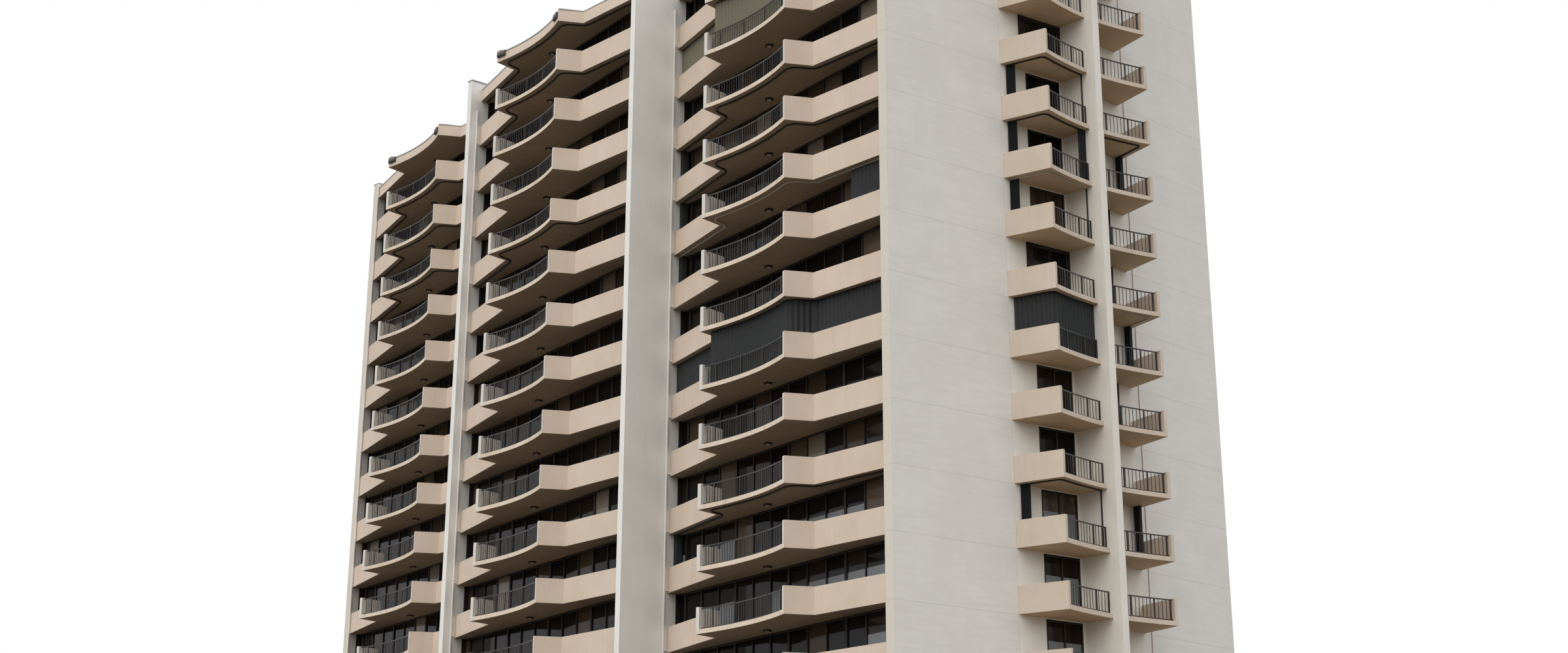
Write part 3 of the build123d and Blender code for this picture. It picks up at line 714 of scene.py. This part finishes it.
# Balcony door frames on the gables. Dark brown aluminium: two jambs and a middle stile in the
# doorway, with a head and a sill, close in front of the glass.
door_height = 1.245
door_out = -0.014
stile_spacing = 0.5
stile_section = (0.042, 0.026)
door_path = [(door_out - gable_slope * across, across) for across in (0.195, 1.205)]
door_rows, door_edges = [], []
for end, half in gable_sides:
    for level in soffits:
        foot = level + slab_thickness
        door_rows.append(gable_line(end, half, door_path, foot))
        door_edges.append(gable_line(end, half, door_path, foot + edge_height / 2))
        door_edges.append(gable_line(end, half, door_path, foot + door_height - edge_height / 2))
stand_bars("gable_door_stiles", door_rows, stile_spacing, stile_section, door_height, bronze)
lay_bars("gable_door_heads_and_sills", door_edges, stile_section[1], edge_height, bronze, "dark_metal")

# Shutter boxes. On five balconies of the near gable the door has a roll-up shutter in a dark
# aluminium casing on the wall around it: a wide box on the outer side, a narrow guide by the fin and
# a head between them under the ceiling.
casing_depth = 0.028
head_height = 0.060
guide_edges = (0.105, 0.175)
box_start = 1.225
box_ends = {-1: 1.400, 1: 1.450}
boxed_doors = {-1: (14, 10), 1: (11, 10, 8)}


def on_door_wall(half, edges, level):
    """A line along the near gable's wall between two edges, half a casing's depth out from it."""
    points = [(casing_depth / 2 - gable_slope * across, across) for across in edges]
    return gable_line("near", half, points, level)


casings, casing_heads = [], []
for half, numbers in boxed_doors.items():
    for i in numbers:
        foot = soffits[i] + slab_thickness
        casings.append(on_door_wall(half, (box_start, box_ends[half]), foot + clear_height / 2))
        casings.append(on_door_wall(half, guide_edges, foot + clear_height / 2))
        head_level = foot + clear_height - head_height / 2
        casing_heads.append(on_door_wall(half, (guide_edges[1], box_start), head_level))
lay_bars("gable_door_shutter_casings", casings, casing_depth, clear_height, bronze, "shutter_metal")
lay_bars("gable_door_shutter_heads", casing_heads, casing_depth, head_height, bronze, "shutter_metal")

# Cappings. Folded light grey metal over every top edge that the rain meets: the roof edges, the
# cross walls, the fins and the swept tops of the gable walls.
capping = satin_paint("light_grey_metal_capping", "#C9C9C6", "#B3B2AE", 0.45)
cap_height = 0.030
edge_cap_width = 0.134
half_edge = 0.050
roof_edge_height = 0.322
edge_starts = {"near": 0.300, "middle": 0.010, "far": 0.010}
edge_level = roof_soffit + roof_edge_height + cap_height / 2
edge_band = offset_path(near_half, half_edge)
far_edge_band = [(bay_length - along, out) for along, out in edge_band]
edge_caps = []
for block, rear in bay_sides:
    start = edge_starts[block]
    near_edge_band = [(start, start * math.tan(panel_turn) - half_edge)] + edge_band[1:]
    edge_caps.append(bay_line(block, rear, near_edge_band, edge_level))
    edge_caps.append(bay_line(block, rear, far_edge_band, edge_level))
lay_bars("roof_edge_cappings", edge_caps, edge_cap_width, cap_height, capping, "pipe_metal")

wall_cap_width = 0.236
overhang = 0.015
wall_caps = []
for name in ("cross_wall_near", "cross_wall_far"):
    low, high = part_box(name)
    middle = (low.x + high.x) / 2
    level = high.z + cap_height / 2
    wall_caps.append([(middle, low.y - overhang, level), (middle, high.y + overhang, level)])
for end in gable_bends:
    low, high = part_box("gable_fin_" + end)
    middle = (low.y + high.y) / 2
    level = high.z + cap_height / 2
    wall_caps.append([(low.x - overhang, middle, level), (high.x + overhang, middle, level)])
lay_bars("wall_and_fin_cappings", wall_caps, wall_cap_width, cap_height, capping, "pipe_metal")

gable_cap_width = 0.280
gable_cap_line = -0.125
past_corner = 0.010
middle_rise = 0.770
sag = 0.065
far_reach = block_depth / 2 - bay_length * math.sin(bay_turn) + 0.030
gable_halves = {"near": (gable_reach, 0.680), "far": (far_reach, 0.490)}
gable_caps = []
for end, half in gable_sides:
    half_reach, corner_rise = gable_halves[end]
    start = half_reach + past_corner
    path = []
    for i in range(13):
        share = i / 12
        across = start + (strip_edge - start) * share
        rise = corner_rise + (middle_rise - corner_rise) * share - 4 * sag * share * (1 - share)
        point = (gable_cap_line - gable_slope * across, across)
        path += gable_line(end, half, [point], roof_soffit + rise + cap_height / 2)
    gable_caps.append(path)
lay_bars("gable_wall_cappings", gable_caps, gable_cap_width, cap_height, capping, "pipe_metal")

# Gutters. A flat greenish grey metal gutter along the curved eave of every bay, with a dark box at
# each end, beside the wings, in which the rainwater outlet sits.
gutter_metal = satin_paint("greenish_grey_metal_gutter", "#AEB4B0", "#8F9692", 0.5)
box_metal = satin_paint("dark_grey_metal_outlet_box", "#45433F", "#5A5853", 0.55)
gutter_section = (0.080, 0.034)
gutter_level = roof_soffit + 0.250
gutter_inset = 0.030
half_gutter = half_chord - 0.05
box_side = 0.150
box_level = roof_soffit + 0.190
box_inset = 0.020
box_from_tip = (0.34, 0.02)
gutter_curve = [on_curve(half_gutter * (i / 6 - 1), gutter_inset) for i in range(13)]
gutters, outlet_boxes = [], []
for block, rear in bay_sides:
    gutters.append(bay_line(block, rear, gutter_curve, gutter_level))
    for side in (-1, 1):
        ends = [on_curve(side * (half_chord - short), box_inset) for short in box_from_tip]
        outlet_boxes.append(bay_line(block, rear, ends, box_level))
lay_bars("roof_gutters", gutters, *gutter_section, gutter_metal, "pipe_metal")
lay_bars("gutter_rain_heads", outlet_boxes, box_side, box_side, box_metal, "pipe_metal")

# Cable conduit. A painted plastic tube clipped to the rear half of the near gable, from the ground
# to the roof, faded to a pinkish brown.
conduit_paint = satin_paint("faded_pvc_conduit", "#CDB8A8", "#B59F90", 0.6)
conduit_across = 2.210
tube_radius = 0.010
tube_height = roof_soffit + 0.500
tube_place = [(tube_radius - gable_slope * conduit_across, conduit_across)]
tube_middle = gable_line("near", 1, tube_place, tube_height / 2)
set_rounds("gable_conduit", tube_middle, tube_radius, tube_height, conduit_paint)
